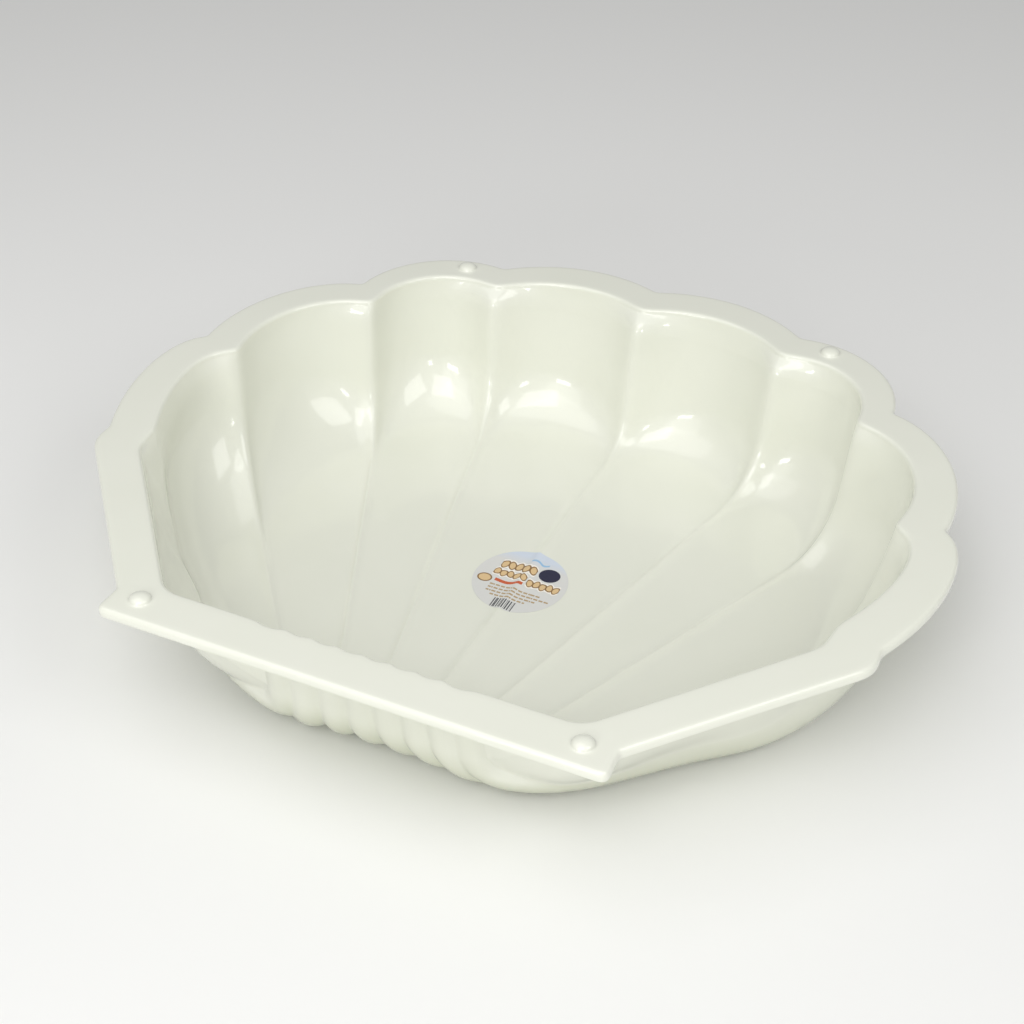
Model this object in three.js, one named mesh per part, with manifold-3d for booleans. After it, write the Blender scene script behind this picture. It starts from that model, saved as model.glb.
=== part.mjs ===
// One half of a clam-shaped paddling pool: a single moulded plastic tub with a printed label on its floor.
// Millimetres, +Z up. X runs across the shell, +Y from the straight hinge side to the scalloped side.
// The origin is on the ground under the middle of the tub.

import * as THREE from 'three';
import { mergeVertices } from 'three/addons/utils/BufferGeometryUtils.js';
import Module from 'manifold-3d';

const wasm = await Module();
wasm.setup();

// Heights and thicknesses
const sheet = 3;
const rimHeight = 185;
const ridgeHeight = 4;
const floorDepth = rimHeight - sheet;
const crestDepth = floorDepth - ridgeHeight;
const lipDrop = 11;
const edgeRadius = 5;
const edgeChamfer = 1.5;

// Plan of the tub: y is measured from the line of the two hinge bosses
const bossLineY = -408.07;
const hingeEdgeY = -30;
const mouthFrontY = [28, 28, 28, 28, 26];
const mouthFrontX = [0, 30, 60, 90, 125, 217.4];
const outerFrontX = [0, 38, 76, 114, 156, 262];
const mouthCusps = [[0, 772], [199, 746], [326, 640], [423, 462], [417, 272], [416, 236]];
const outerCusps = [[0, 828], [210, 798], [365, 680], [480.5, 478], [474, 257], [473.5, 250]];
const mouthRise = [35, 49, 48, 35, 0];
const outerRise = [31.5, 44, 41.5, 31, 0];
const mouthLean = [1, 1, 0.92, 0.61, 1];
const outerLean = [1, 1, 0.9, 0.72, 1];

// Ridge profiles, from the hinge side to the scalloped side
const frontFoot = 24;
const frontRadius = 80;
const rearFoot = [59, 41, 32, 49];
const rearRadius = [50, 85, 85, 160];
const shoulderIn = [22, 20, 10, 6];
const shoulderDrop = 16;
const fluteRise = [5, 6];
const ridgeSpread = 20;
const floorBlend = 4;
const bellyScallop = [0.16, 0.19, 0.26, 0.24];
const earBulge = [0, 10, 14, 8, 3, 1, 0];

// Bosses that find the other half, and the label
const bosses = [[253, 0], [-253, 0], [255, 777], [-255, 777]];
const bossRadius = 12;
const bossHeight = 7;
const labelRadius = 59;
const labelCentreY = -8;
const labelThickness = 0.6;
const labelGap = 0.3;

// Divisions: columns in each lobe and ear, rows in each stretch of a ridge
const lobeColumns = 8;
const earColumns = 3;
const stretchRows = [3, 4, 5, 4, 3, 1];

const vec = (x, y, z) => new THREE.Vector3(x, y, z);

// A corner of a profile rounded by an arc: the two tangent points and the arc's own curve
function roundedCorner(before, corner, after, radius) {
  const inward = before.clone().sub(corner).normalize();
  const outward = after.clone().sub(corner).normalize();
  const halfAngle = inward.angleTo(outward) / 2;
  const reach = radius / Math.tan(halfAngle);
  const start = corner.clone().addScaledVector(inward, reach);
  const end = corner.clone().addScaledVector(outward, reach);
  const centre = corner.clone().addScaledVector(
    inward.clone().add(outward).normalize(), radius / Math.sin(halfAngle));
  const point = (t) => {
    const arm = start.clone().sub(centre);
    const axis = arm.clone().cross(end.clone().sub(centre)).normalize();
    return arm.applyAxisAngle(axis, t * (Math.PI - 2 * halfAngle)).add(centre);
  };
  return { start, end, point };
}

const straight = (from, to) => (t) => from.clone().lerp(to, t);

// A ridge that runs straight in plan: hinge wall, curve, floor, curve, scalloped wall, shoulder
function ridge(k) {
  const front = vec(mouthFrontX[k], mouthFrontY[k], -edgeRadius);
  const rear = vec(...mouthCusps[k], -edgeRadius);
  const way = rear.clone().sub(front);
  const length = way.length();
  way.normalize();
  const at = (distance, depth) => vec(front.x + way.x * distance, front.y + way.y * distance, -depth);
  const foot = at(frontFoot, crestDepth);
  const heel = at(length - rearFoot[k], crestDepth);
  const shoulder = at(length - shoulderIn[k], shoulderDrop);
  const frontBend = roundedCorner(front, foot, heel, frontRadius);
  const rearBend = roundedCorner(foot, heel, shoulder, rearRadius[k]);
  return [
    straight(front, frontBend.start),
    frontBend.point,
    straight(frontBend.end, rearBend.start),
    rearBend.point,
    straight(rearBend.end, shoulder),
    straight(shoulder, rear),
  ];
}

// The crease under the flat ear panel: down the hinge wall, round the corner, up to the notch
function earCrease() {
  const start = vec(mouthFrontX[4], mouthFrontY[4], -edgeRadius);
  const drop = vec(131, 43, -103);
  const shoulder = vec(412, 267, -shoulderDrop);
  const top = vec(...mouthCusps[4], -edgeRadius);
  const level = new THREE.CatmullRomCurve3([
    drop, vec(142, 53, -124), vec(170, 58, -130), vec(201, 66, -132), vec(228, 82, -130),
    vec(252, 107, -128), vec(275, 133, -125), vec(300, 160, -123), vec(326, 182, -121), vec(353, 203, -118),
    vec(378, 230, -111), vec(396, 251, -92), vec(405, 261, -58), shoulder]);
  const stretch = (from, to) => (t) => level.getPoint(from + (to - from) * t);
  return [
    straight(start, drop),
    stretch(0, 0.2),
    stretch(0.2, 0.64),
    stretch(0.64, 0.86),
    stretch(0.86, 1),
    straight(shoulder, top),
  ];
}

// The straight mouth edge over the ear panel, with its rounded hinge corner
function earEdge() {
  const corner = vec(240.5, mouthFrontY[4], -edgeRadius);
  const rear = vec(...mouthCusps[5], -edgeRadius);
  const bend = roundedCorner(vec(0, mouthFrontY[4], -edgeRadius), corner, rear, 40);
  const side = straight(bend.end, rear);
  return [
    (t) => bend.point(t * 0.35),
    (t) => bend.point(0.35 + t * 0.5),
    (t) => (t < 0.12 ? bend.point(0.85 + t / 0.8) : side((t - 0.12) / 0.88 * 0.62)),
    (t) => side(0.62 + t * 0.2),
    (t) => side(0.82 + t * 0.13),
    (t) => side(0.95 + t * 0.05),
  ];
}

// The flange's outer edge beside the ear: hinge tip, tip's side, straight side, rounded corner
function outerEar() {
  const tip = roundedCorner(vec(200, hingeEdgeY, 0), vec(290, hingeEdgeY, 0), vec(288, 7, 0), 4);
  const notch = vec(288, 7, 0);
  const corner = vec(476, 226.7, 0);
  const rear = vec(...outerCusps[5], 0);
  const bend = roundedCorner(notch, corner, rear, 42);
  const side = straight(notch, bend.start);
  return [
    (t) => (t < 0.5 ? straight(vec(outerFrontX[5], hingeEdgeY, 0), tip.start)(t * 2) : tip.point(t * 2 - 1)),
    straight(tip.end, notch),
    (t) => side(t * 0.66),
    (t) => side(0.66 + t * 0.26),
    (t) => (t < 0.34 ? side(0.92 + t / 0.34 * 0.08) : bend.point((t - 0.34) / 0.66)),
    straight(bend.end, rear),
  ];
}

// The height of a circular arc over its chord, as a share of its rise
function arcShare(f, ratio) {
  const radius = (0.25 + ratio * ratio) / (2 * ratio);
  const offset = f - 0.5;
  return (Math.sqrt(radius * radius - offset * offset) - radius + ratio) / ratio;
}

function sampled(stretches) {
  const points = [stretches[0](0)];
  stretches.forEach((stretch, n) => {
    for (let i = 1; i <= stretchRows[n]; i++) points.push(stretch(i / stretchRows[n]));
  });
  return points;
}

// Which stretch of the ridges a row lies in, and how far along it
function placeOf(row) {
  let stretch = 0;
  let start = 0;
  while (stretch < stretchRows.length - 1 && row > start + stretchRows[stretch]) {
    start += stretchRows[stretch];
    stretch += 1;
  }
  return { stretch, share: (row - start) / stretchRows[stretch] };
}

const keyed = (keys, { stretch, share }) => keys[stretch] + (keys[stretch + 1] - keys[stretch]) * share;

// How far each lobe stands out beyond the chord between its two ridges, at each end of each stretch
function lobeRises(lobe, width) {
  if (lobe === 4) return earBulge;
  const extra = lobe < 3 ? (shoulderIn[lobe] + shoulderIn[lobe + 1]) / 2 - 3 : 0;
  const wallRise = mouthRise[lobe] + extra;
  if (lobe === 3) {
    return [fluteRise[0], ...bellyScallop.map((share, n) => share * width[n + 1]), wallRise, mouthRise[lobe]];
  }
  const floorRise = ridgeHeight + floorBlend;
  return [...fluteRise, floorRise, floorRise, 0.92 * wallRise, wallRise, mouthRise[lobe]];
}

// The sheet's fall away from a ridge: a narrow rib on the floor, a full arc on the walls
function lobeShare(f, ratio, width, ribness) {
  const arc = arcShare(f, Math.max(ratio, 0.02));
  const near = Math.min(1, Math.min(f, 1 - f) * width / ridgeSpread);
  const rib = 1 - (1 - near) ** 2;
  return arc + (rib - arc) * ribness;
}

// The floor between the ridges is flat: no point of the sheet's inner face lies below it, and the
// curve down to it is eased over the blend's height
function restOnFloor(point) {
  const over = point.z + floorDepth;
  if (Math.abs(over) < floorBlend) point.z = (over + floorBlend) ** 2 / (4 * floorBlend) - floorDepth;
  else if (over < 0) point.z = -floorDepth;
  return point;
}

// One column of the half: inner-face points from the hinge edge to the scalloped edge
function column(ribs, lobe, f) {
  const left = ribs[lobe];
  const right = ribs[lobe + 1];
  const last = left.length - 1;
  const ends = stretchRows.reduce((rows, n) => [...rows, rows.at(-1) + n], [0]);
  const widths = ends.map((row) => left[row].distanceTo(right[row]));
  const rises = lobeRises(lobe, widths);
  return left.map((start, row) => {
    const place = placeOf(row);
    const chord = right[row].clone().sub(start);
    const width = chord.length();
    const point = start.clone().addScaledVector(chord, f);
    const before = Math.max(row - 1, 0);
    const after = Math.min(row + 1, last);
    const along = left[after].clone().lerp(right[after], f).sub(left[before].clone().lerp(right[before], f));
    if (row === 0) along.set(0, 0, -1);
    if (row === last) along.set(0, 0, 1);
    const away = along.cross(chord).normalize();
    const rise = keyed(rises, place);
    const rearness = Math.max(0, place.stretch + place.share - 3) / 3;
    const lean = 1 + (mouthLean[lobe] - 1) * Math.min(1, rearness * 1.5);
    const ribness = lobe < 3 ? keyed([0, 0, 1, 1, 0, 0, 0], place) : 0;
    point.addScaledVector(away, rise * lobeShare(f ** lean, rise / width, width, ribness));
    return restOnFloor(point);
  });
}

// The columns of the whole tub, from the left ear to the right ear
function innerColumns() {
  const ribs = [ridge(0), ridge(1), ridge(2), ridge(3), earCrease(), earEdge()].map(sampled);
  const half = [];
  for (let lobe = 0; lobe < 5; lobe++) {
    const count = lobe < 4 ? lobeColumns : earColumns;
    for (let i = lobe ? 1 : 0; i <= count; i++) half.push(column(ribs, lobe, i / count));
  }
  const mirrored = half.slice(1).reverse().map((points) => points.map((p) => vec(-p.x, p.y, p.z)));
  return [...mirrored, ...half];
}

// The outer edge of the flange, point for point with the mouth's edge
function outerColumnEnds() {
  const front = [];
  const rear = [];
  for (let lobe = 0; lobe < 5; lobe++) {
    const count = lobe < 4 ? lobeColumns : earColumns;
    const from = vec(...outerCusps[lobe], 0);
    const chord = vec(...outerCusps[lobe + 1], 0).sub(from);
    const away = vec(-chord.y, chord.x, 0).normalize();
    const ratio = outerRise[lobe] / chord.length();
    for (let i = lobe ? 1 : 0; i <= count; i++) {
      const f = i / count;
      const x = outerFrontX[lobe] + (outerFrontX[lobe + 1] - outerFrontX[lobe]) * f;
      front.push(vec(x, hingeEdgeY, 0));
      const point = from.clone().addScaledVector(chord, f);
      if (ratio > 0) point.addScaledVector(away, outerRise[lobe] * arcShare(f ** outerLean[lobe], ratio));
      rear.push(point);
    }
  }
  return { front, rear, side: sampled(outerEar()) };
}

const mirror = (p) => vec(-p.x, p.y, p.z);

// A closed loop from one half's hinge end, ear side and scalloped end
function wholeLoop(front, side, rear) {
  const half = [...front, ...side.slice(1, -1), ...rear.slice().reverse()];
  return [...half, ...half.slice(1, -1).reverse().map(mirror)];
}

// A loop moved sideways in its own plane, outwards when the distance is positive
function offsetLoop(loop, distance, z) {
  const count = loop.length;
  return loop.map((p, i) => {
    const before = loop[(i + count - 1) % count];
    const after = loop[(i + 1) % count];
    const a = vec(p.y - before.y, before.x - p.x, 0).normalize();
    const b = vec(after.y - p.y, p.x - after.x, 0).normalize();
    const normal = a.add(b).normalize();
    const stretch = 1 / Math.max(0.6, normal.dot(b));
    return vec(p.x + normal.x * distance * stretch, p.y + normal.y * distance * stretch, z);
  });
}

// Unit normals of a grid of columns, away from the inside of the tub
function gridNormals(columns) {
  return columns.map((points, j) => points.map((p, i) => {
    const left = columns[Math.max(j - 1, 0)][i];
    const right = columns[Math.min(j + 1, columns.length - 1)][i];
    const front = points[Math.max(i - 1, 0)];
    const rear = points[Math.min(i + 1, points.length - 1)];
    return rear.clone().sub(front).cross(right.clone().sub(left)).normalize();
  }));
}

// The boundary of a grid as a loop: hinge side, right ear, scalloped side, left ear
function gridBoundary(columns) {
  const last = columns.length - 1;
  const rows = columns[0].length;
  const middle = last / 2;
  const loop = [];
  for (let j = middle; j <= last; j++) loop.push(columns[j][0]);
  for (let i = 1; i < rows - 1; i++) loop.push(columns[last][i]);
  for (let j = last; j >= 0; j--) loop.push(columns[j][rows - 1]);
  for (let i = rows - 2; i > 0; i--) loop.push(columns[0][i]);
  for (let j = 0; j < middle; j++) loop.push(columns[j][0]);
  return loop;
}

function pushTriangle(positions, a, b, c) {
  for (const p of [a, b, c]) positions.push(p.x, p.y, p.z);
}

function pushQuad(positions, a, b, c, d) {
  pushTriangle(positions, a, b, c);
  pushTriangle(positions, a, c, d);
}

function pushGrid(positions, columns, flip) {
  for (let j = 0; j < columns.length - 1; j++) {
    for (let i = 0; i < columns[0].length - 1; i++) {
      const quad = [columns[j][i], columns[j + 1][i], columns[j + 1][i + 1], columns[j][i + 1]];
      if (flip) quad.reverse();
      pushQuad(positions, ...quad);
    }
  }
}

function pushStrip(positions, loop, next) {
  const count = loop.length;
  for (let i = 0; i < count; i++) {
    const k = (i + 1) % count;
    pushQuad(positions, loop[i], next[i], next[k], loop[k]);
  }
}

function toSolid(geometry) {
  const plain = geometry.clone();
  plain.deleteAttribute('normal');
  plain.deleteAttribute('uv');
  const merged = mergeVertices(plain, 1e-3);
  const index = merged.getIndex().array;
  const corners = [];
  for (let t = 0; t < index.length; t += 3) {
    const [a, b, c] = [index[t], index[t + 1], index[t + 2]];
    if (a !== b && b !== c && c !== a) corners.push(a, b, c);
  }
  return new wasm.Manifold(new wasm.Mesh({
    numProp: 3,
    vertProperties: Float32Array.from(merged.getAttribute('position').array),
    triVerts: Uint32Array.from(corners),
  }));
}

function toGeometry(solid) {
  const mesh = solid.getMesh();
  const geometry = new THREE.BufferGeometry();
  geometry.setAttribute('position', new THREE.Float32BufferAttribute(mesh.vertProperties, 3));
  geometry.setIndex([...mesh.triVerts]);
  geometry.computeVertexNormals();
  return geometry;
}

// The moulding without its bosses: bowl, flange, turned-down lip and the same again underneath
function tubSheet() {
  const inner = innerColumns();
  const normals = gridNormals(inner);
  const outer = inner.map((points, j) => points.map((p, i) => p.clone().addScaledVector(normals[j][i], sheet)));
  const mouth = gridBoundary(inner);
  const { front, rear, side } = outerColumnEnds();
  const edge = wholeLoop(front, side, rear);
  const outerMouth = offsetLoop(mouth, sheet, -edgeRadius - 1);
  const last = inner.length - 1;
  const rows = inner[0].length;
  let n = 0;
  for (let j = last / 2; j <= last; j++) outer[j][0] = outerMouth[n++];
  for (let i = 1; i < rows - 1; i++) outer[last][i] = outerMouth[n++];
  for (let j = last; j >= 0; j--) outer[j][rows - 1] = outerMouth[n++];
  for (let i = rows - 2; i > 0; i--) outer[0][i] = outerMouth[n++];
  for (let j = 0; j < last / 2; j++) outer[j][0] = outerMouth[n++];
  const loops = [
    mouth,
    offsetLoop(mouth, edgeChamfer, -edgeChamfer),
    offsetLoop(mouth, edgeRadius, 0),
    offsetLoop(edge, -edgeRadius, 0),
    offsetLoop(edge, -edgeChamfer, -edgeChamfer),
    offsetLoop(edge, 0, -edgeRadius),
    offsetLoop(edge, 0, -lipDrop),
    offsetLoop(edge, -sheet, -lipDrop),
    offsetLoop(edge, -sheet - 1, -sheet),
    offsetLoop(mouth, edgeRadius + sheet, -sheet),
    gridBoundary(outer),
  ];
  const positions = [];
  pushGrid(positions, inner, false);
  pushGrid(positions, outer, true);
  for (let i = 0; i < loops.length - 1; i++) pushStrip(positions, loops[i], loops[i + 1]);
  const geometry = new THREE.BufferGeometry();
  geometry.setAttribute('position', new THREE.Float32BufferAttribute(positions, 3));
  return toSolid(geometry);
}

// A low round boss, sunk a little into the flange so that the two join
function boss([x, y]) {
  const sunk = 1.5;
  const profile = [new THREE.Vector2(0, -sunk), new THREE.Vector2(bossRadius, -sunk)];
  const steps = 4;
  for (let i = 0; i <= steps; i++) {
    const angle = i / steps * Math.PI / 2;
    profile.push(new THREE.Vector2(bossRadius * Math.cos(angle), bossHeight * Math.sin(angle)));
  }
  const geometry = new THREE.LatheGeometry(profile, 16);
  geometry.rotateX(Math.PI / 2);
  geometry.translate(x, y, 0);
  return toSolid(geometry);
}

function shellTub() {
  const solid = bosses.reduce((tub, place) => tub.add(boss(place)), tubSheet());
  const material = new THREE.MeshStandardMaterial({ color: 0xe3e5d8, roughness: 0.28, metalness: 0 });
  const mesh = new THREE.Mesh(toGeometry(solid), material);
  mesh.name = 'shell_tub';
  mesh.position.set(0, bossLineY, rimHeight);
  return mesh;
}

// The printed paper label lies on the floor, its underside dished over the middle ridge
function label() {
  const sides = 48;
  const geometry = new THREE.CylinderGeometry(labelRadius, labelRadius, labelThickness, sides);
  geometry.rotateX(Math.PI / 2);
  const material = new THREE.MeshStandardMaterial({ color: 0xd9dcdd, roughness: 0.5, metalness: 0 });
  const mesh = new THREE.Mesh(geometry, material);
  mesh.name = 'label';
  mesh.position.set(0, labelCentreY, sheet + ridgeHeight + labelGap + labelThickness / 2);
  return mesh;
}

const part = new THREE.Group();
part.add(shellTub(), label());

export default part;
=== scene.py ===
import math
import bmesh
import bpy
import numpy as np
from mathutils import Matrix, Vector


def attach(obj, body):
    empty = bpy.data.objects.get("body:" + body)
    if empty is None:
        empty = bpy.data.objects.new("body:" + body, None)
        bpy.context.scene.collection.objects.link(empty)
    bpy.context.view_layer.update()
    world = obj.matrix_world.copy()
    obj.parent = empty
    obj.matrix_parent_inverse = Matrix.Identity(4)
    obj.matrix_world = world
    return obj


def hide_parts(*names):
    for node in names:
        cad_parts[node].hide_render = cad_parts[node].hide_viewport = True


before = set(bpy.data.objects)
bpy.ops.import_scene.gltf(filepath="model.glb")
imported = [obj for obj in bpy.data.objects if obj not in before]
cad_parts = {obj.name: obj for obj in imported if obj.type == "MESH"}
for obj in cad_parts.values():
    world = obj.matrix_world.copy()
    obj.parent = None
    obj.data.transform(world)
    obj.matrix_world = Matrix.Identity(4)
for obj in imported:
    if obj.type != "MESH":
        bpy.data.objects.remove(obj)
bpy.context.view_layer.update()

mm = 0.001


def linearColour(hexColour, alpha=1.0):
    channels = [int(hexColour[i:i + 2], 16) / 255 for i in (1, 3, 5)]
    return [c / 12.92 if c <= 0.04045 else ((c + 0.055) / 1.055) ** 2.4 for c in channels] + [alpha]


def addNode(tree, kind, settings=None, links=None):
    # settings: property or input name to value, links: input name or number to an output socket
    node = tree.nodes.new(kind)
    for key, value in (settings or {}).items():
        if isinstance(key, str) and hasattr(node, key):
            setattr(node, key, value)
        else:
            node.inputs[key].default_value = value
    for key, socket in (links or {}).items():
        tree.links.new(socket, node.inputs[key])
    return node


def newMaterial(name):
    material = bpy.data.materials.new(name)
    material.use_nodes = True
    tree = material.node_tree
    tree.nodes.clear()
    output = tree.nodes.new("ShaderNodeOutputMaterial")
    return material, tree, output


def deselectAll():
    if bpy.context.object and bpy.context.object.mode != "OBJECT":
        bpy.ops.object.mode_set(mode="OBJECT")
    bpy.ops.object.select_all(action="DESELECT")


def applyModifier(obj, kind, **settings):
    bpy.context.view_layer.objects.active = obj
    bpy.ops.object.modifier_add(type=kind)
    modifier = obj.modifiers[-1]
    for key, value in settings.items():
        setattr(modifier, key, value)
    bpy.ops.object.modifier_apply(modifier=modifier.name)


viewpoint = {
    "place": (0.7283, -1.5759, 1.408),
    "target": (0.0342, -0.1035, 0.185),
    "lens": 64.2,
    "sensor": 36,
    "clip": (0.05, 60),
}

camera = bpy.data.objects.new("camera", bpy.data.cameras.new("camera"))
bpy.context.scene.collection.objects.link(camera)
camera.data.lens = viewpoint["lens"]
camera.data.sensor_width = viewpoint["sensor"]
camera.location = viewpoint["place"]
lookAlong = Vector(viewpoint["target"]) - Vector(viewpoint["place"])
camera.rotation_euler = lookAlong.to_track_quat("-Z", "Y").to_euler()
camera.data.clip_start, camera.data.clip_end = viewpoint["clip"]
bpy.context.scene.camera = camera
print("camera set")


# the shell's shape, in millimetres from the line of the hinge bosses and the flange's top
tub = {
    "sheet": 3,
    "rimHeight": 185,
    "bossLineY": -408.07,
    "ridgeHeight": 4,
    "lipDrop": 11,
    "lipCurveEnd": 3,
    "edgeRadius": 5,
    "hingeEdgeY": -30,
    "mouthFrontY": [28, 28, 28, 28, 26],
    "mouthFrontX": [0, 30, 60, 90, 125, 217.4],
    "outerFrontX": [0, 38, 76, 114, 156, 262],
    "mouthCusps": [[0, 772], [199, 746], [326, 640], [423, 462], [417, 272], [416, 236]],
    "outerCusps": [[0, 828], [210, 798], [365, 680], [480.5, 478], [474, 257], [473.5, 250]],
    "mouthRise": [35, 49, 48, 35, 0],
    "outerRise": [31.5, 44, 41.5, 31, 0],
    "mouthLean": [1, 1, 0.92, 0.61, 1],
    "outerLean": [1, 1, 0.9, 0.72, 1],
    "frontFoot": 24,
    "frontRadius": 80,
    "rearFoot": [59, 41, 32, 49],
    "rearRadius": [50, 85, 85, 160],
    "shoulderIn": [22, 20, 10, 6],
    "shoulderDrop": 16,
    "shoulderSlack": 1.5,
    "wallBendShare": 0.92,
    "fluteRise": [5, 6],
    "ridgeSpread": 20,
    "floorBlend": 4,
    "bellyScallop": [0.16, 0.19, 0.26, 0.24],
    "earBulge": [0, 10, 14, 8, 3, 1, 0],
    "leastArc": 0.02,
    "earCorner": {"x": 240.5, "radius": 40, "splits": [0.35, 0.85], "share": 0.12},
    "earSplits": [0.62, 0.82, 0.95],
    "tip": {"x": 290, "radius": 7, "share": 0.5},
    "notch": {"place": [288, 7], "radius": 6, "share": 0.6},
    "earEnd": {"place": [476, 226.7], "radius": 42, "splits": [0.66, 0.92], "share": 0.34},
    "creaseDrop": [131, 43, -103],
    "creaseLevel": [
        (142, 53, -124), (170, 58, -130), (201, 66, -132), (228, 82, -130), (252, 107, -128),
        (275, 133, -125), (300, 160, -123), (326, 182, -121), (353, 203, -118), (378, 230, -111),
        (396, 251, -92), (405, 261, -58)],
    "creaseShoulder": [412, 267],
    "creaseSplits": [0, 0.2, 0.64, 0.86, 1],
    "lobeColumns": 22,
    "earColumns": 12,
    "stretchRows": [12, 16, 24, 24, 18, 8],
    "crestCrowding": 0.78,
    "crestSoftness": [5, 3.5, 1.7, 2.4, 12, 14, 11],
    "earSoftness": [5, 3.2, 4.5, 12, 16, 15, 12],
    "earSoftColumns": 9,
    "heelRows": [2.2, 2.7, 3.4, 4],
    "heelEase": [8, 12],
    "mouthRows": [3.6, 4.3],
    "mouthEase": [6, 6],
    "notchSoftness": 10,
    "notchRows": 28,
    "cuspSoftness": 4,
    "flangeLoops": 8,
    "filletLoops": 5,
    "panelFade": 4,
    "edgeBevel": 0.8,
    "bevelAngle": 60,
    "bosses": [[253, 0], [-253, 0], [255, 777], [-255, 777]],
}
smoothAngle = math.radians(50)
floorDepth = tub["rimHeight"] - tub["sheet"]
crestDepth = floorDepth - tub["ridgeHeight"]


def unit(v):
    return v / np.linalg.norm(v)


def roundedCorner(before, corner, after, radius):
    inward, outward = unit(before - corner), unit(after - corner)
    halfAngle = math.acos(np.clip(inward @ outward, -1, 1)) / 2
    reach = radius / math.tan(halfAngle)
    start, end = corner + inward * reach, corner + outward * reach
    centre = corner + unit(inward + outward) * radius / math.sin(halfAngle)
    arm = start - centre
    sideways = unit(np.cross(np.cross(arm, end - centre), arm)) * radius
    turn = math.pi - 2 * halfAngle

    def point(t):
        return centre + arm * math.cos(t * turn) + sideways * math.sin(t * turn)
    return start, end, point


def straight(a, b):
    return lambda t: a + (b - a) * t


def joined(first, second, share):  # one stretch made of two, the first over its share of the rows
    return lambda t: first(t / share) if t < share else second((t - share) / (1 - share))


def vec(*xyz):
    return np.array(xyz, float)


def ridge(k):  # hinge wall, curve, floor, curve, scalloped wall, shoulder
    front = vec(tub["mouthFrontX"][k], tub["mouthFrontY"][k], -tub["edgeRadius"])
    rear = vec(*tub["mouthCusps"][k], -tub["edgeRadius"])
    length = np.linalg.norm(rear - front)
    way = (rear - front) / length

    def at(distance, depth):
        return vec(front[0] + way[0] * distance, front[1] + way[1] * distance, -depth)
    foot = at(tub["frontFoot"], crestDepth)
    heel = at(length - tub["rearFoot"][k], crestDepth)
    shoulder = at(length - tub["shoulderIn"][k], tub["shoulderDrop"])
    frontStart, frontEnd, frontBend = roundedCorner(front, foot, heel, tub["frontRadius"])
    rearStart, rearEnd, rearBend = roundedCorner(foot, heel, shoulder, tub["rearRadius"][k])
    return [straight(front, frontStart), frontBend, straight(frontEnd, rearStart), rearBend,
            straight(rearEnd, shoulder), straight(shoulder, rear)]


def smoothCurve(points):  # a centripetal Catmull-Rom curve, evenly shared between its points
    points = [np.array(p, float) for p in points]
    points = [2 * points[0] - points[1]] + points + [2 * points[-1] - points[-2]]

    def at(t):
        place = min(max(t, 0), 1) * (len(points) - 3)
        i = min(int(place), len(points) - 4)
        s = place - i
        p0, p1, p2, p3 = points[i:i + 4]
        d0, d1, d2 = (max(np.linalg.norm(b - a), 1e-4) ** 0.5 for a, b in ((p0, p1), (p1, p2), (p2, p3)))
        m1 = ((p1 - p0) / d0 - (p2 - p0) / (d0 + d1) + (p2 - p1) / d1) * d1
        m2 = ((p2 - p1) / d1 - (p3 - p1) / (d1 + d2) + (p3 - p2) / d2) * d1
        return (p1 + m1 * s + (-3 * p1 + 3 * p2 - 2 * m1 - m2) * s ** 2
                + (2 * p1 - 2 * p2 + m1 + m2) * s ** 3)
    return at


def earCrease():  # the crease under the flat ear panel, up to the notch
    start = vec(tub["mouthFrontX"][4], tub["mouthFrontY"][4], -tub["edgeRadius"])
    drop = vec(*tub["creaseDrop"])
    shoulder = vec(*tub["creaseShoulder"], -tub["shoulderDrop"])
    top = vec(*tub["mouthCusps"][4], -tub["edgeRadius"])
    level = smoothCurve([drop, *tub["creaseLevel"], shoulder])
    splits = tub["creaseSplits"]

    def stretch(a, b):
        return lambda t: level(a + (b - a) * t)
    return [straight(start, drop), *[stretch(a, b) for a, b in zip(splits, splits[1:])],
            straight(shoulder, top)]


def earEdge():  # the straight mouth edge over the ear panel, with its rounded hinge corner
    edgeY, corner = tub["mouthFrontY"][4], tub["earCorner"]
    rear = vec(*tub["mouthCusps"][5], -tub["edgeRadius"])
    bendEnd, bend = roundedCorner(
        vec(0, edgeY, -tub["edgeRadius"]), vec(corner["x"], edgeY, -tub["edgeRadius"]), rear,
        corner["radius"])[1:]
    side = straight(bendEnd, rear)
    early, late = corner["splits"]
    low, middle, high = tub["earSplits"]
    return [lambda t: bend(t * early), lambda t: bend(early + t * (late - early)),
            joined(lambda t: bend(late + t * (1 - late)), lambda t: side(t * low), corner["share"]),
            lambda t: side(low + t * (middle - low)), lambda t: side(middle + t * (high - middle)),
            lambda t: side(high + t * (1 - high))]


def outerEar():  # the flange's outer edge beside the ear
    start = vec(tub["outerFrontX"][5], tub["hingeEdgeY"], 0)
    tipPoint, notchPoint = vec(tub["tip"]["x"], tub["hingeEdgeY"], 0), vec(*tub["notch"]["place"], 0)
    endPoint, cusp = vec(*tub["earEnd"]["place"], 0), vec(*tub["outerCusps"][5], 0)
    tipStart, tipEnd, tip = roundedCorner(start, tipPoint, notchPoint, tub["tip"]["radius"])
    notchStart, notchEnd, notch = roundedCorner(tipEnd, notchPoint, endPoint, tub["notch"]["radius"])
    bendStart, bendEnd, bend = roundedCorner(notchEnd, endPoint, cusp, tub["earEnd"]["radius"])
    side = straight(notchEnd, bendStart)
    early, late = tub["earEnd"]["splits"]
    return [joined(straight(start, tipStart), tip, tub["tip"]["share"]),
            joined(straight(tipEnd, notchStart), notch, tub["notch"]["share"]),
            lambda t: side(t * early), lambda t: side(early + t * (late - early)),
            joined(lambda t: side(late + t * (1 - late)), bend, tub["earEnd"]["share"]),
            straight(bendEnd, cusp)]


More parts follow.
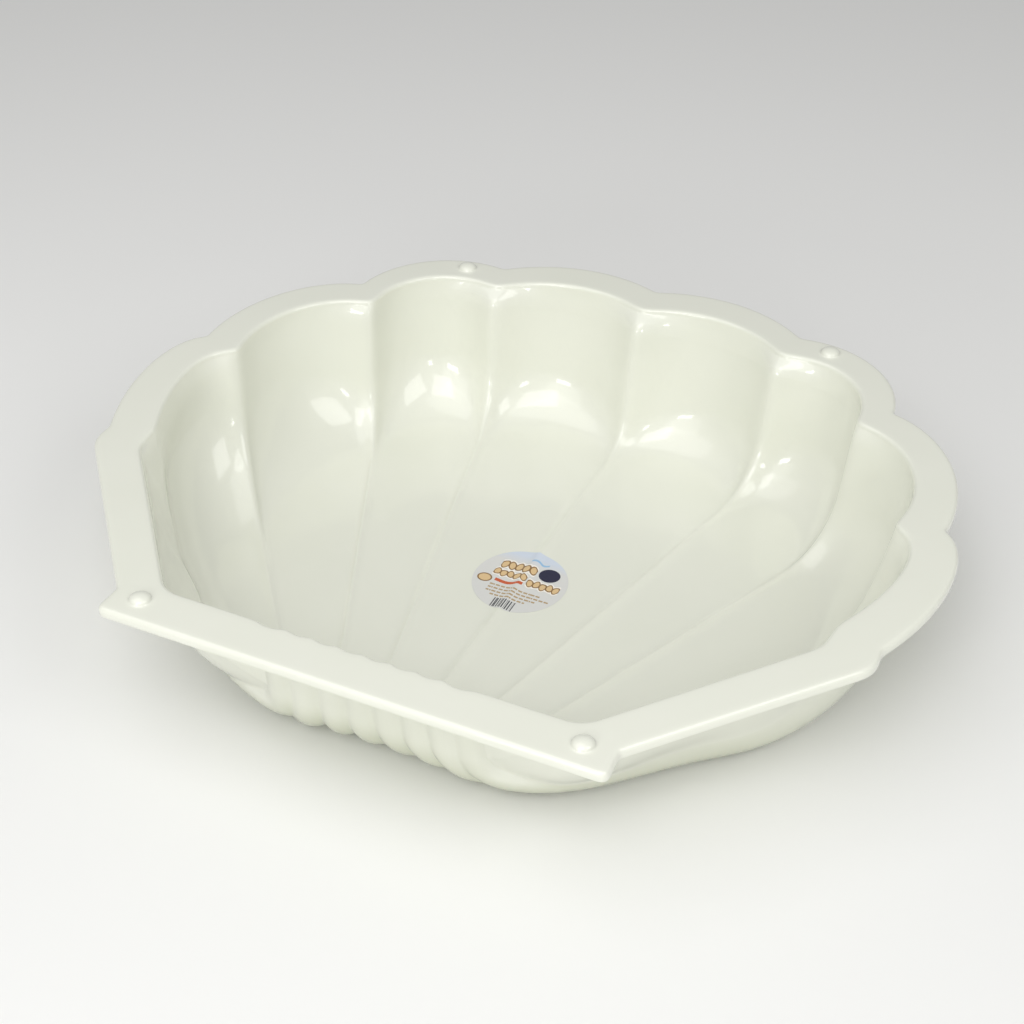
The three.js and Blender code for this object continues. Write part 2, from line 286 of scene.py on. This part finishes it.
def sampled(stretches):
    points = [stretches[0](0)]
    for stretch, count in zip(stretches, tub["stretchRows"]):
        points += [stretch(i / count) for i in range(1, count + 1)]
    return np.array(points)


def arcShare(f, ratio):  # height of a circular arc over its chord, as a share of its rise
    radius = (0.25 + ratio * ratio) / (2 * ratio)
    return (np.sqrt(radius * radius - (f - 0.5) ** 2) - radius + ratio) / ratio


rowPlace = np.concatenate([[0]] + [n + np.arange(1, count + 1) / count
                                   for n, count in enumerate(tub["stretchRows"])])


def keyed(keys):
    return np.interp(rowPlace, range(7), keys)


def lobeRises(lobe, widths):
    if lobe == 4:
        return keyed(tub["earBulge"])
    extra = 0
    if lobe < 3:
        extra = (tub["shoulderIn"][lobe] + tub["shoulderIn"][lobe + 1]) / 2 - tub["shoulderSlack"]
    mouth = tub["mouthRise"][lobe]
    wall = mouth + extra
    if lobe == 3:
        belly = [share * width for share, width in zip(tub["bellyScallop"], widths)]
        return keyed([tub["fluteRise"][0], *belly, wall, mouth])
    floorRise = tub["ridgeHeight"] + tub["floorBlend"]
    return keyed([*tub["fluteRise"], floorRise, floorRise, tub["wallBendShare"] * wall, wall, mouth])


def restOnFloor(points):
    over = points[..., 2] + floorDepth
    blend = tub["floorBlend"]
    eased = np.where(over > blend, over, np.where(over < -blend, 0, (over + blend) ** 2 / (4 * blend)))
    points[..., 2] = eased - floorDepth
    return points


def crowded(count):  # shares across a lobe, closer together near its two ridges
    t = np.arange(count + 1) / count
    return t - tub["crestCrowding"] * np.sin(2 * np.pi * t) / (2 * np.pi)


def lobeShares(lobe):  # a lobe's columns, leaving out the ridge that it has in common with the last one
    return crowded(tub["lobeColumns"] if lobe < 4 else tub["earColumns"])[1 if lobe else 0:]


def lobeGrid(left, right, lobe):
    chord = right - left
    width = np.linalg.norm(chord, axis=1)
    rows = len(left)
    ends = np.concatenate([[0], np.cumsum(tub["stretchRows"])])
    rise = lobeRises(lobe, [width[i] for i in ends[1:5]])
    rearness = np.clip((rowPlace - 3) / 3, 0, 1)
    lean = 1 + (tub["mouthLean"][lobe] - 1) * np.minimum(1, rearness * 1.5)
    ribness = np.interp(rowPlace, range(7), [0, 0, 1, 1, 0, 0, 0]) if lobe < 3 else np.zeros(rows)
    columns = []
    for f in lobeShares(lobe):
        middle = left + chord * f
        along = np.gradient(middle, axis=0)
        along /= np.linalg.norm(along, axis=1)[:, None]
        down, up = vec(0, 0, -1), vec(0, 0, 1)
        for i in range(rows):
            if rowPlace[i] < 1:
                along[i] = unit(down + (along[ends[1]] - down) * rowPlace[i])
            elif rowPlace[i] > 5:
                along[i] = unit(along[ends[5] - 2] + (up - along[ends[5] - 2]) * (rowPlace[i] - 5))
        away = np.cross(along, chord)
        away /= np.linalg.norm(away, axis=1)[:, None]
        arc = arcShare(f ** lean, np.maximum(rise / width, tub["leastArc"]))
        near = np.minimum(1, min(f, 1 - f) * width / tub["ridgeSpread"])
        share = arc + (1 - (1 - near) ** 2 - arc) * ribness
        columns.append(restOnFloor(middle + away * (rise * share)[:, None]))
    return columns


def softened(points, softness):  # a run of points with its corners eased over a length, its ends kept
    step = np.linalg.norm(np.diff(points, axis=0), axis=1)
    place = np.concatenate([[0], np.cumsum(step)])
    before, after = 2 * points[0] - points[:0:-1], 2 * points[-1] - points[-2::-1]
    allPoints = np.concatenate([before, points, after])
    allPlaces = np.concatenate([-place[:0:-1], place, 2 * place[-1] - place[-2::-1]])
    share = np.gradient(allPlaces)
    weight = np.exp(-0.5 * ((place[:, None] - allPlaces[None, :]) / softness) ** 2) * share[None, :]
    weight /= weight.sum(1)[:, None]
    return weight @ allPoints


def bowlGrid():
    ribs = [sampled(r) for r in (ridge(0), ridge(1), ridge(2), ridge(3), earCrease(), earEdge())]
    half = np.concatenate([lobeGrid(ribs[lobe], ribs[lobe + 1], lobe) for lobe in range(5)])
    shares = np.concatenate([lobeShares(lobe) for lobe in range(5)])
    nearHeel = np.interp(rowPlace, tub["heelRows"], [0, 1, 1, 0])[:, None]
    nearMouth = np.interp(rowPlace, tub["mouthRows"], [0, 1])[:, None]
    for column, share in zip(half, shares):  # eases the heel of the wall and the bend under the mouth
        middle = math.sin(math.pi * share)
        for (edge, more), near in ((tub["heelEase"], nearHeel), (tub["mouthEase"], nearMouth)):
            column += (softened(column, edge + more * middle) - column) * near
    grid = np.concatenate([half[:0:-1] * vec(-1, 1, 1), half])
    softness, earSoftness = keyed(tub["crestSoftness"]), keyed(tub["earSoftness"])
    fromCrease = np.abs(np.abs(np.arange(len(grid)) - len(half) + 1) - 4 * tub["lobeColumns"])
    nearEar = np.clip(2 - fromCrease / tub["earSoftColumns"], 0, 1)[:, None]
    for i in range(grid.shape[1]):
        row = softened(grid[:, i], softness[i])
        grid[:, i] = row + (softened(grid[:, i], earSoftness[i]) - row) * nearEar
    return easedNotch(easedNotch(grid)[::-1])[::-1]


def easedNotch(grid):  # rounds the mouth's corner beside the notch and carries the points near it along
    across, down = tub["earColumns"], tub["notchRows"]
    block = grid[-across - 1:, -down - 1:][::-1, ::-1]
    path = np.concatenate([block[:0:-1, 0], block[0]])
    moved = softened(path, tub["notchSoftness"]) - path
    along, side = moved[across::-1][:, None], moved[across:][None]
    u = np.linspace(1, 0, across + 1)[:, None, None]
    v = np.linspace(1, 0, down + 1)[None, :, None]
    block += v * along + u * side - u * v * moved[across]
    return grid


def gridBoundary(columns, rows):  # round the grid: hinge side, right ear, scalloped side, left ear
    last, middle = columns - 1, (columns - 1) // 2
    loop = [(j, 0) for j in range(middle, columns)]
    loop += [(last, i) for i in range(1, rows - 1)]
    loop += [(j, rows - 1) for j in range(last, -1, -1)]
    loop += [(0, i) for i in range(rows - 2, 0, -1)]
    loop += [(j, 0) for j in range(middle)]
    return loop


def softenedLoop(loop, softness):
    step = np.linalg.norm(loop - np.roll(loop, 1, axis=0), axis=1)
    place = np.cumsum(step)
    total = place[-1]
    share = (step + np.roll(step, -1)) / 2
    gap = np.abs(place[:, None] - place[None, :])
    gap = np.minimum(gap, total - gap)
    weight = np.exp(-0.5 * (gap / softness) ** 2) * share[None, :]
    return (weight / weight.sum(1)[:, None]) @ loop


def outerLoop():
    front, rear = [], []
    for lobe in range(5):
        start, end = (vec(*tub["outerCusps"][n], 0) for n in (lobe, lobe + 1))
        chord = end - start
        width = np.linalg.norm(chord)
        away = vec(-chord[1], chord[0], 0) / width
        rise = tub["outerRise"][lobe]
        for f in lobeShares(lobe):
            x = np.interp(lobe + f, range(6), tub["outerFrontX"])
            front.append(vec(x, tub["hingeEdgeY"], 0))
            lift = rise * arcShare(f ** tub["outerLean"][lobe], rise / width) if rise else 0
            rear.append(start + chord * f + away * lift)
    half = np.array(front + list(sampled(outerEar())[1:-1]) + rear[::-1])
    return np.concatenate([half, half[-2:0:-1] * vec(-1, 1, 1)])


def offsetLoop(loop, distance, height):  # moved sideways in its plane, outwards when positive
    tangent = np.roll(loop, -1, axis=0) - np.roll(loop, 1, axis=0)
    normal = np.stack([tangent[:, 1], -tangent[:, 0]], 1)
    normal /= np.linalg.norm(normal, axis=1)[:, None]
    moved = loop.copy()
    moved[:, :2] += normal * distance
    moved[:, 2] = height
    return moved


def flangeLoops(mouth):
    radius = tub["edgeRadius"]
    turns = [math.pi / 2 * n / tub["filletLoops"] for n in range(1, tub["filletLoops"] + 1)]
    edge = softenedLoop(outerLoop(), tub["cuspSoftness"])
    loops = [offsetLoop(mouth, radius * (1 - math.cos(a)), radius * (math.sin(a) - 1)) for a in turns]
    inner, outer = loops[-1], offsetLoop(edge, -radius, 0)
    for n in range(1, tub["flangeLoops"] + 1):
        loops.append(inner + (outer - inner) * n / tub["flangeLoops"])
    loops += [offsetLoop(edge, -radius * (1 - math.sin(a)), radius * (math.cos(a) - 1)) for a in turns]
    loops += [offsetLoop(edge, 0, z) for z in (-radius - tub["lipCurveEnd"], -tub["lipDrop"])]
    return loops


def placed(points):
    return (points + vec(0, tub["bossLineY"], tub["rimHeight"])) * mm


def makeTub():
    grid = bowlGrid()
    columns, rows = grid.shape[:2]
    deselectAll()
    bpy.ops.mesh.primitive_grid_add(x_subdivisions=columns - 1, y_subdivisions=rows - 1, size=2)
    obj = bpy.context.object
    obj.name = "shell_moulding"
    obj.data.name = "shell_moulding"
    bpy.ops.object.transform_apply(location=True, rotation=True, scale=True)
    index = {}
    for v in obj.data.vertices:
        key = (round((v.co.x + 1) / 2 * (columns - 1)), round((v.co.y + 1) / 2 * (rows - 1)))
        index[key] = v.index
    panel = obj.data.attributes.new("panel", "FLOAT", "POINT")
    for (j, i), n in index.items():
        obj.data.vertices[n].co = placed(grid[j, i])
        pastCrease = abs(j - columns // 2) - 4 * tub["lobeColumns"]
        panel.data[n].value = np.clip(pastCrease / tub["panelFade"] + 1, 0, 1)
    boundary = gridBoundary(columns, rows)
    loop = [index[key] for key in boundary]
    mouth = np.array([grid[key] for key in boundary])
    bpy.ops.object.mode_set(mode="EDIT")
    for points in flangeLoops(mouth):
        mesh = bmesh.from_edit_mesh(obj.data)
        mesh.verts.ensure_lookup_table()
        bpy.ops.mesh.select_all(action="DESELECT")
        bpy.ops.mesh.select_mode(type="EDGE")
        for a, b in zip(loop, loop[1:] + loop[:1]):
            mesh.edges.get((mesh.verts[a], mesh.verts[b])).select = True
        mesh.select_flush_mode()
        bpy.ops.mesh.extrude_edges_move(TRANSFORM_OT_translate={"value": (0, 0, 0)})
        mesh = bmesh.from_edit_mesh(obj.data)
        mesh.verts.index_update()
        mesh.verts.ensure_lookup_table()
        grown = []
        for n, point in zip(loop, points):
            vert = next(e.other_vert(mesh.verts[n]) for e in mesh.verts[n].link_edges
                        if e.other_vert(mesh.verts[n]).select and not mesh.verts[n].select)
            vert.co = placed(point)
            grown.append(vert.index)
        loop = grown
        bmesh.update_edit_mesh(obj.data)
    bpy.ops.object.mode_set(mode="OBJECT")
    return obj


boss = {
    "radius": 12,
    "height": 7,
    "skirt": 3,
    "skirtRise": 1.2,
    "skirtSteps": 5,
    "domeFoot": 1.0,
    "domeShare": 0.98,
    "domeSteps": 9,
    "sides": 40,
    "clear": 16.5,
}


def raiseBoss(obj, x, y):  # a hole in the flange, filled up to a ring that rises into a low dome
    centre = Vector(placed(vec(x, y, 0)))
    bpy.ops.object.mode_set(mode="EDIT")
    bpy.ops.mesh.select_mode(type="FACE")
    bpy.ops.mesh.select_all(action="DESELECT")
    mesh = bmesh.from_edit_mesh(obj.data)
    clear = boss["clear"] * mm
    for face in mesh.faces:
        flat = all(abs(v.co.z - centre.z) < 1e-5 for v in face.verts)
        if flat and any((v.co - centre).length < clear for v in face.verts):
            face.select = True
    bmesh.update_edit_mesh(obj.data)
    before = {e for e in mesh.edges if e.is_boundary}
    bpy.ops.mesh.delete(type="FACE")
    mesh = bmesh.from_edit_mesh(obj.data)
    rim = [e for e in mesh.edges if e.is_boundary and e not in before]
    outerRadius = (boss["radius"] + boss["skirt"]) * mm
    bpy.ops.mesh.select_all(action="DESELECT")
    bpy.ops.mesh.select_mode(type="EDGE")
    bpy.ops.mesh.primitive_circle_add(vertices=boss["sides"], radius=outerRadius, location=centre)
    mesh = bmesh.from_edit_mesh(obj.data)
    ring = [e for e in mesh.edges if e.select]
    for e in rim:
        if e.is_valid:
            e.select = True
    mesh.select_flush_mode()
    bmesh.update_edit_mesh(obj.data)
    bpy.ops.mesh.fill(use_beauty=True)
    profile = []
    for n in range(1, boss["skirtSteps"]):  # the skirt curves up from the flange
        a = math.pi / 2 * n / boss["skirtSteps"]
        profile.append((boss["radius"] + boss["skirt"] * (1 - math.sin(a)),
                        boss["skirtRise"] * (1 - math.cos(a))))
    for n in range(1, boss["domeSteps"]):
        a = math.pi / 2 * n / boss["domeSteps"]
        profile.append((boss["radius"] * math.cos(a) * boss["domeShare"],
                        boss["domeFoot"] + (boss["height"] - boss["domeFoot"]) * math.sin(a)))
    previous, height = outerRadius, 0.0
    bpy.ops.mesh.select_all(action="DESELECT")
    mesh = bmesh.from_edit_mesh(obj.data)
    for e in ring:
        e.select = True
    mesh.select_flush_mode()
    bmesh.update_edit_mesh(obj.data)
    for radius, level in profile:
        bpy.ops.mesh.extrude_edges_move(TRANSFORM_OT_translate={"value": (0, 0, level * mm - height)})
        scale = radius * mm / previous
        bpy.ops.transform.resize(value=(scale, scale, 1), center_override=centre)
        previous, height = radius * mm, level * mm
    top = boss["height"] * mm - height
    bpy.ops.mesh.extrude_edges_move(TRANSFORM_OT_translate={"value": (0, 0, top)})
    bpy.ops.mesh.merge(type="CENTER")
    bpy.ops.object.mode_set(mode="OBJECT")


shell = makeTub()
print("tub sheet", len(shell.data.vertices))
for x, y in tub["bosses"]:
    raiseBoss(shell, x, y)
print("bosses raised", len(shell.data.vertices))
bpy.ops.object.mode_set(mode="EDIT")
bpy.ops.mesh.select_all(action="SELECT")
bpy.ops.mesh.remove_doubles(threshold=1e-6)
bpy.ops.mesh.normals_make_consistent(inside=False)
bpy.ops.object.mode_set(mode="OBJECT")
floorFace = min(shell.data.polygons, key=lambda p: (p.center.x - 0.05) ** 2 + p.center.y ** 2)
if floorFace.normal.z < 0:  # the face that shows is the inner one, so it points up
    bpy.ops.object.mode_set(mode="EDIT")
    bpy.ops.mesh.select_all(action="SELECT")
    bpy.ops.mesh.flip_normals()
    bpy.ops.object.mode_set(mode="OBJECT")
applyModifier(shell, "SOLIDIFY", thickness=tub["sheet"] * mm, offset=-1, use_even_offset=False,
              use_quality_normals=True)
applyModifier(shell, "BEVEL", width=tub["edgeBevel"] * mm, segments=2, limit_method="ANGLE",
              angle_limit=math.radians(tub["bevelAngle"]))
bpy.ops.object.shade_smooth_by_angle(angle=smoothAngle)
print("tub moulded", len(shell.data.polygons))


# moulded polypropylene: smooth and glossy from a polished mould, a little wavy where it cooled
plastic = {
    "colour": "#EAEBDF",
    "shade": "#E5E7D9",
    # painted shade: the darker, greener colour that downward-facing faces are tinted towards, the tilt
    # range over which it comes in, and the share of it kept on the ear panels
    "underside": "#C6CAB0",
    "undersideTilt": (0.03, 0.62),
    "panelShadeShare": 0.15,
    "cloudScale": 9.0,
    "roughness": 0.34,
    "roughnessSpread": (-0.03, 0.05),
    "refraction": 1.49,
    "skin": 0.9,
    "skinRoughness": 0.07,
    "waveLength": 70,
    "waveDepth": 0.5,
    "grainLength": 2.2,
    "grainDepth": 0.02,
}


def mouldedPlastic():
    material, tree, output = newMaterial("moulded_polypropylene")
    coordinates = addNode(tree, "ShaderNodeTexCoord")
    waves = addNode(tree, "ShaderNodeTexNoise", {"Scale": 1000 / plastic["waveLength"], "Detail": 1.5},
                    {"Vector": coordinates.outputs["Object"]})
    grain = addNode(tree, "ShaderNodeTexNoise", {"Scale": 1000 / plastic["grainLength"], "Detail": 2.0},
                    {"Vector": coordinates.outputs["Object"]})
    clouds = addNode(tree, "ShaderNodeTexNoise", {"Scale": plastic["cloudScale"], "Detail": 3.0},
                     {"Vector": coordinates.outputs["Object"]})
    tint = addNode(tree, "ShaderNodeMix", {"data_type": "RGBA"}, {0: clouds.outputs["Fac"]})
    tint.inputs[6].default_value = linearColour(plastic["colour"])
    tint.inputs[7].default_value = linearColour(plastic["shade"])
    # mixes painted shade into the colour on faces that look down
    paintedShadeMask = addNode(tree, "ShaderNodeAttribute", {"attribute_name": "underside"})
    skin = addNode(tree, "ShaderNodeMix", {"data_type": "RGBA"},
                   {0: paintedShadeMask.outputs["Fac"], 6: tint.outputs[2]})
    skin.inputs[7].default_value = linearColour(plastic["underside"])
    low, high = (plastic["roughness"] + spread for spread in plastic["roughnessSpread"])
    gloss = addNode(tree, "ShaderNodeMapRange", {"To Min": low, "To Max": high},
                    {"Value": clouds.outputs["Fac"]})
    wavy = addNode(tree, "ShaderNodeBump", {"Strength": 1.0, "Distance": plastic["waveDepth"] * mm},
                   {"Height": waves.outputs["Fac"]})
    grainy = addNode(tree, "ShaderNodeBump", {"Strength": 1.0, "Distance": plastic["grainDepth"] * mm},
                     {"Height": grain.outputs["Fac"], "Normal": wavy.outputs["Normal"]})
    shader = addNode(tree, "ShaderNodeBsdfPrincipled", {
        "IOR": plastic["refraction"],
        "Coat Weight": plastic["skin"],
        "Coat Roughness": plastic["skinRoughness"],
        "Coat IOR": plastic["refraction"],
    }, {"Base Color": skin.outputs[2], "Roughness": gloss.outputs["Result"],
        "Normal": grainy.outputs["Normal"], "Coat Normal": wavy.outputs["Normal"]})
    tree.links.new(shader.outputs["BSDF"], output.inputs["Surface"])
    return material


def markPaintedShade(obj):  # painted shade: faces that look down are tinted darker and greener, the ear panels much less
    low, high = plastic["undersideTilt"]
    paintedShadeAmount = obj.data.attributes.new("underside", "FLOAT", "POINT")
    panel = obj.data.attributes["panel"]
    for v in obj.data.vertices:
        tilt = min(max((-v.normal.z - low) / (high - low), 0), 1)
        fade = 1 - (1 - plastic["panelShadeShare"]) * panel.data[v.index].value
        paintedShadeAmount.data[v.index].value = tilt * fade


# paints shade onto the faces that look down
markPaintedShade(shell)
shell.data.materials.append(mouldedPlastic())
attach(shell, "root")
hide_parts("shell_tub")

# a round printed paper label stuck to the floor of the bowl, in millimetres from the bowl's middle
sticker = {
    "radius": 59,
    "centreY": -8,
    "spokes": 144,
    "rings": 30,
    "height": 0.2,
    "clearance": 0.1,
    "startHeight": 50,
    "roughness": 0.42,
    "refraction": 1.48,
    "fibreScale": 900.0,
    "fibreDepth": 0.01,
    "paper": "#D9D9D6",
    "sky": "#D0D9E6",
    "wave": "#96BFDF",
    "halo": "#F4EFE6",
    "outline": "#8A6A42",
    "pebble": "#DDBF90",
    "navy": "#23233F",
    "swoosh": "#C9603A",
    "print": "#B29A74",
    "stripes": "#46464A",
    "waveLine": {"x": (-2, 21), "y": 41.5, "half": 1.7},
    "pebbleLayers": [("halo", 1.7, 1.15), ("outline", 1.15, 0.9), ("pebble", 0.8, 0.68)],
    "pebbleRows": [(-35, 5, 24, 8.6, 9.4), (-38, 5, 7, 7, 8.8), (8, 5, 1.5, 7.6, 8.6)],
    "ovals": [("navy", 28.5, 24.5, 13.5, 12.5), ("outline", -43, -10, 9.5, 8),
              ("pebble", -43, -10, 7.6, 6.2)],
    "sweepLine": {"x": (-30, 5), "y": -6.5, "slope": 0.1, "half": 2.6},
    "lines": [(-18, -32, 35), (-24, -32, 48), (-30, -32, 33), (-36, -24, 22)],
    "lineHalf": 1.3,
    "bars": {"x": (-15, 13), "y": (-57, -40)},
}


def makeSticker(target):
    deselectAll()
    centre = (0, sticker["centreY"] * mm, sticker["startHeight"] * mm)
    bpy.ops.mesh.primitive_circle_add(vertices=sticker["spokes"], radius=sticker["radius"] * mm,
                                      location=centre)
    obj = bpy.context.object
    obj.name = "paper_label"
    obj.data.name = "paper_label"
    bpy.ops.object.transform_apply(location=True, rotation=True, scale=True)
    bpy.ops.object.mode_set(mode="EDIT")
    bpy.ops.mesh.select_all(action="SELECT")
    for n in range(1, sticker["rings"]):
        bpy.ops.mesh.extrude_edges_move(TRANSFORM_OT_translate={"value": (0, 0, 0)})
        scale = (sticker["rings"] - n) / (sticker["rings"] - n + 1)
        bpy.ops.transform.resize(value=(scale, scale, 1), center_override=centre)
    bpy.ops.mesh.extrude_edges_move(TRANSFORM_OT_translate={"value": (0, 0, 0)})
    bpy.ops.mesh.merge(type="CENTER")
    bpy.ops.mesh.select_all(action="SELECT")
    bpy.ops.mesh.normals_make_consistent(inside=False)
    bpy.ops.object.mode_set(mode="OBJECT")
    if obj.data.polygons[0].normal.z < 0:
        bpy.ops.object.mode_set(mode="EDIT")
        bpy.ops.mesh.flip_normals()
        bpy.ops.object.mode_set(mode="OBJECT")
    applyModifier(obj, "SHRINKWRAP", target=target, wrap_method="PROJECT", use_project_z=True,
                  use_negative_direction=True, use_positive_direction=False, wrap_mode="ABOVE_SURFACE",
                  offset=(sticker["height"] + sticker["clearance"]) * mm)
    applyModifier(obj, "SOLIDIFY", thickness=sticker["height"] * mm, offset=-1)
    bpy.ops.object.shade_smooth_by_angle(angle=smoothAngle)
    return obj


def printedPaper():  # coated paper with a print of plain pebbles, lines and stripes
    material, tree, output = newMaterial("printed_paper")
    coordinates = addNode(tree, "ShaderNodeTexCoord")
    inMillimetres = addNode(tree, "ShaderNodeVectorMath", {"operation": "SCALE", "Scale": 1000.0},
                            {0: coordinates.outputs["Object"]})
    axes = addNode(tree, "ShaderNodeSeparateXYZ", {}, {0: inMillimetres.outputs["Vector"]})

    def calc(operation, *values):
        node = addNode(tree, "ShaderNodeMath", {"operation": operation})
        for n, value in enumerate(values):
            if isinstance(value, (int, float)):
                node.inputs[n].default_value = value
            else:
                tree.links.new(value, node.inputs[n])
        return node.outputs[0]

    def both(*masks):
        result = masks[0]
        for mask in masks[1:]:
            result = calc("MULTIPLY", result, mask)
        return result

    def between(value, low, high):
        return both(calc("GREATER_THAN", value, low), calc("LESS_THAN", value, high))

    def oval(u, v, width, height):
        across, up = calc("DIVIDE", u, width), calc("DIVIDE", v, height)
        return calc("LESS_THAN", calc("ADD", calc("POWER", across, 2), calc("POWER", up, 2)), 1)

    def waved(value, amount, rate, start=0.0):
        return calc("MULTIPLY", calc("SINE", calc("MULTIPLY_ADD", value, rate, start)), amount)
    x, y = axes.outputs["X"], calc("SUBTRACT", axes.outputs["Y"], sticker["centreY"])
    colour = None

    def paint(name, mask):
        nonlocal colour
        layer = addNode(tree, "ShaderNodeMix", {"data_type": "RGBA"})
        tree.links.new(mask, layer.inputs[0])
        if colour is None:
            layer.inputs[6].default_value = linearColour(sticker["paper"])
        else:
            tree.links.new(colour, layer.inputs[6])
        layer.inputs[7].default_value = linearColour(sticker[name])
        colour = layer.outputs[2]
    paint("sky", calc("SMOOTH_MIN", calc("MAXIMUM", calc("MULTIPLY_ADD", y, 0.06, -1.9), 0), 1, 0.1))
    line = sticker["waveLine"]
    crest = calc("SUBTRACT", y, calc("ADD", waved(x, 2.2, 0.32), line["y"]))
    paint("wave", both(between(crest, -line["half"], line["half"]), between(x, *line["x"])))
    for layer, wide, tall in sticker["pebbleLayers"]:
        for startX, count, rowY, height, pitch in sticker["pebbleRows"]:
            inPitch = calc("FLOORED_MODULO", calc("SUBTRACT", x, startX), pitch)
            along = calc("SUBTRACT", inPitch, pitch / 2)
            lift = calc("ADD", calc("SUBTRACT", y, rowY), waved(x, 1.2, 0.42, startX))
            row = oval(along, lift, pitch / 2 * wide, height * tall)
            paint(layer, both(row, between(x, startX, startX + count * pitch)))
    for name, middleX, middleY, width, height in sticker["ovals"]:
        paint(name, oval(calc("SUBTRACT", x, middleX), calc("SUBTRACT", y, middleY), width, height))
    line = sticker["sweepLine"]
    rise = calc("MULTIPLY_ADD", x, line["slope"], line["y"])
    sweep = calc("SUBTRACT", y, calc("ADD", waved(x, 1.6, 0.16, 0.6), rise))
    paint("swoosh", both(between(sweep, -line["half"], line["half"]), between(x, *line["x"])))
    for lineY, startX, endX in sticker["lines"]:
        ripple = calc("ADD", waved(x, 1, 1.9, lineY), waved(x, 1, 0.83, lineY))
        level = between(y, lineY - sticker["lineHalf"], lineY + sticker["lineHalf"])
        paint("print", both(level, between(x, startX, endX), calc("GREATER_THAN", ripple, -0.9)))
    bars = calc("GREATER_THAN", calc("ADD", waved(x, 1, 1.7), waved(x, 1, 2.6)), 0)
    paint("stripes", both(bars, between(x, *sticker["bars"]["x"]), between(y, *sticker["bars"]["y"])))
    fibres = addNode(tree, "ShaderNodeTexNoise", {"Scale": sticker["fibreScale"], "Detail": 2.0},
                     {"Vector": coordinates.outputs["Object"]})
    bump = addNode(tree, "ShaderNodeBump", {"Strength": 1.0, "Distance": sticker["fibreDepth"] * mm},
                   {"Height": fibres.outputs["Fac"]})
    shader = addNode(tree, "ShaderNodeBsdfPrincipled",
                     {"Roughness": sticker["roughness"], "IOR": sticker["refraction"]},
                     {"Base Color": colour, "Normal": bump.outputs["Normal"]})
    tree.links.new(shader.outputs["BSDF"], output.inputs["Surface"])
    return material


label = makeSticker(shell)
label.data.materials.append(printedPaper())
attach(label, "root")
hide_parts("label")
print("label laid")


studio = {
    "world": ("#FFFFFF", 0.39),
    "floor": "#EEEEEC",
    "floorRoughness": 0.9,
    "floorSize": 60,
    "floorDrop": 0.5,
    "lampTarget": (0, 0, 0.1),
    "lamps": {
        "overhead": {"place": (-0.6, -1.1, 3.0), "size": (3.2, 2.8), "power": 29},
        "front": {"place": (-0.5, -3.3, 2.4), "size": (3.0, 1.8), "power": 16},
        "right": {"place": (2.7, -0.8, 2.6), "size": (1.8, 1.8), "power": 27},
        "frontHigh": {"place": (0.8, -2.6, 3.2), "size": (2.0, 2.0), "power": 35},
        "windowRight": {"place": (1.85, -2.36, 1.1), "size": (0.4, 0.4), "power": 4.5},
        "windowLeft": {"place": (-0.26, -2.99, 1.1), "size": (1.0, 0.4), "power": 12},
    },
}

world = bpy.data.worlds.new("studio")
bpy.context.scene.world = world
world.use_nodes = True
background = world.node_tree.nodes["Background"]
background.inputs["Color"].default_value = linearColour(studio["world"][0])
background.inputs["Strength"].default_value = studio["world"][1]
for name, lamp in studio["lamps"].items():
    light = bpy.data.objects.new(name, bpy.data.lights.new(name, "AREA"))
    light.data.shape = "RECTANGLE"
    light.data.size, light.data.size_y = lamp["size"]
    light.data.energy = lamp["power"]
    light.location = lamp["place"]
    shineAlong = Vector(studio["lampTarget"]) - light.location
    light.rotation_euler = shineAlong.to_track_quat("-Z", "Y").to_euler()
    bpy.context.scene.collection.objects.link(light)

deselectAll()
bpy.ops.mesh.primitive_plane_add(size=studio["floorSize"], location=(0, 0, -studio["floorDrop"] * mm))
floor = bpy.context.object
floor.name = "floor"
material, tree, output = newMaterial("pale_floor")
shader = addNode(tree, "ShaderNodeBsdfPrincipled", {"Base Color": linearColour(studio["floor"]),
                                                    "Roughness": studio["floorRoughness"]})
tree.links.new(shader.outputs["BSDF"], output.inputs["Surface"])
floor.data.materials.append(material)
bpy.context.scene.view_settings.view_transform = "Standard"
